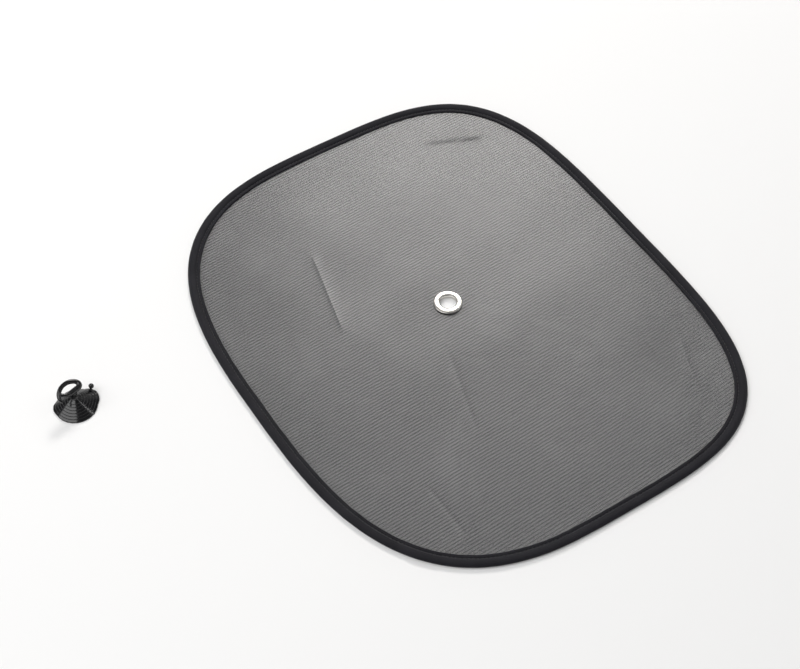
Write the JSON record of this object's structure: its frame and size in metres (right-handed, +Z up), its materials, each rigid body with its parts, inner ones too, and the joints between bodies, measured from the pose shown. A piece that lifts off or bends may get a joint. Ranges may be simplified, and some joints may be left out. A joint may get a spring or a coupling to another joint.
{
  "type": "car side window sunshade",
  "caption": "Rounded mesh sunshade for a car side window: ribbed see-through mesh on a wire frame in sewn binding tape, with a metal eyelet and a loose suction cup with a hook.",
  "frame": {"origin": "on the floor that the part lies on, at the middle of the footprint of panel and cup together", "axes": "+Z up, +X along the panel's length, +Y across the panel, away from the suction cup"},
  "size_m": [0.44, 0.4868, 0.0237],
  "materials": {
    "mesh": "open knitted polyester mesh with fine ribs, matt",
    "tape": "fine woven polyester binding tape, matt with a slight sheen",
    "spring_steel": "drawn spring steel wire",
    "plated_metal": "bright nickel plate",
    "soft_pvc": "glossy soft black PVC, moulded in steps"
  },
  "bodies": {
    "root": {"mesh_panel": "mesh", "binding_tape": "tape", "spring_wire": "spring_steel", "wire_sleeve": "spring_steel", "eyelet": "plated_metal", "eyelet_washer": "plated_metal", "suction_cup": "soft_pvc"}
  },
  "joints": []
}
